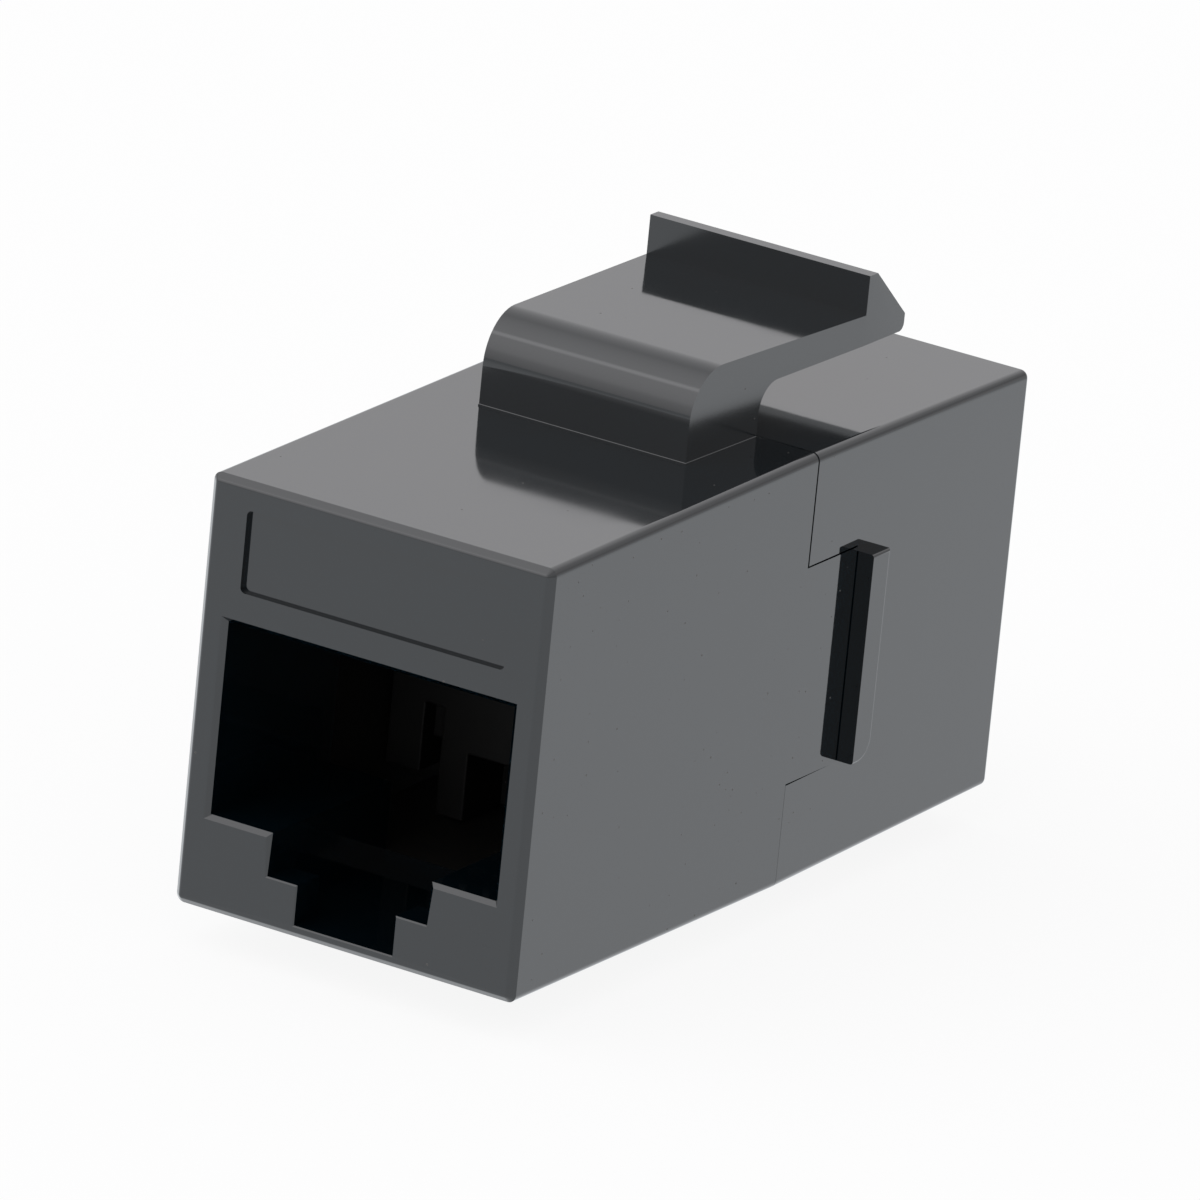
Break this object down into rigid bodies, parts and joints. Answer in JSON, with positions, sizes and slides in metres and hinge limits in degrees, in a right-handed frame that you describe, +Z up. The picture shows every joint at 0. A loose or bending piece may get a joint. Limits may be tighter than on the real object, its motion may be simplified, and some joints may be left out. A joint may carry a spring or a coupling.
{
  "type": "keystone coupler",
  "caption": "In-line keystone coupler with a modular socket at each end, a sprung latch on top, a fixed hook below and stop ribs on its sides.",
  "frame": {"origin": "centre of the label face, the socket face under the label recess, at mid-height of the body's seam section", "axes": "+Y along the body from the label face to the panel face, +Z up towards the latch, +X to the right when looking into the label socket"},
  "size_m": [0.016, 0.033, 0.0227],
  "materials": {
    "housing": "black moulded plastic with a soft gloss",
    "insert": "black moulded plastic, matt",
    "board": "green circuit board lacquer",
    "contact": "gold-plated spring wire, bright"
  },
  "bodies": {
    "coupler": {"label_shell": "housing", "panel_shell": "housing", "label_block": "insert", "panel_block": "insert", "circuit_board": "board", "label_contact_1": "contact", "label_contact_2": "contact", "label_contact_3": "contact", "label_contact_4": "contact", "label_contact_5": "contact", "label_contact_6": "contact", "label_contact_7": "contact", "label_contact_8": "contact", "panel_contact_1": "contact", "panel_contact_2": "contact", "panel_contact_3": "contact", "panel_contact_4": "contact", "panel_contact_5": "contact", "panel_contact_6": "contact", "panel_contact_7": "contact", "panel_contact_8": "contact"},
    "latch": {"latch_arm": "housing"}
  },
  "joints": [
    {"name": "latch_flex", "type": "hinge", "parent": "coupler", "child": "latch", "pos_m": [0, 0.01895, 0.01031], "axis": [-1, 0, 0], "range_deg": [0, 12], "stiffness_Nm_per_rad": 0.5}
  ]
}
